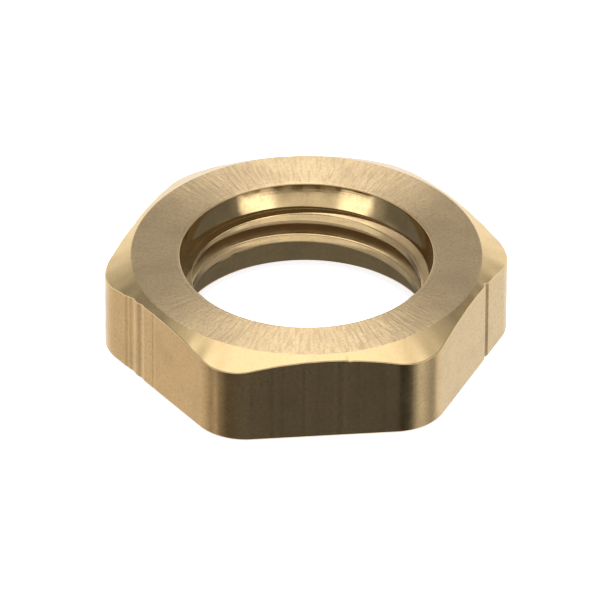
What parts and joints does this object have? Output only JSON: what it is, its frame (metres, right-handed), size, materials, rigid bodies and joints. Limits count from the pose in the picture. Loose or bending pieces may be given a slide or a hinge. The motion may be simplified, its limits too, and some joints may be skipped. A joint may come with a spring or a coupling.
{
  "type": "hex nut",
  "caption": "Thin hexagon lock nut with rounded corners, a chamfered top, a flat ring round the mouth and an internal pipe thread between two plain recesses.",
  "frame": {"origin": "centre of the thread axis in the plane of the bottom face", "axes": "+Z along the thread axis, towards the chamfered face; -Y square to one of the six flats"},
  "size_m": [0.021, 0.019, 0.005],
  "materials": {
    "brass": "drawn hexagon flats with fine lengthwise lines, turned top face, lightly toned"
  },
  "bodies": {
    "root": {"hex_nut": "brass"}
  },
  "joints": []
}
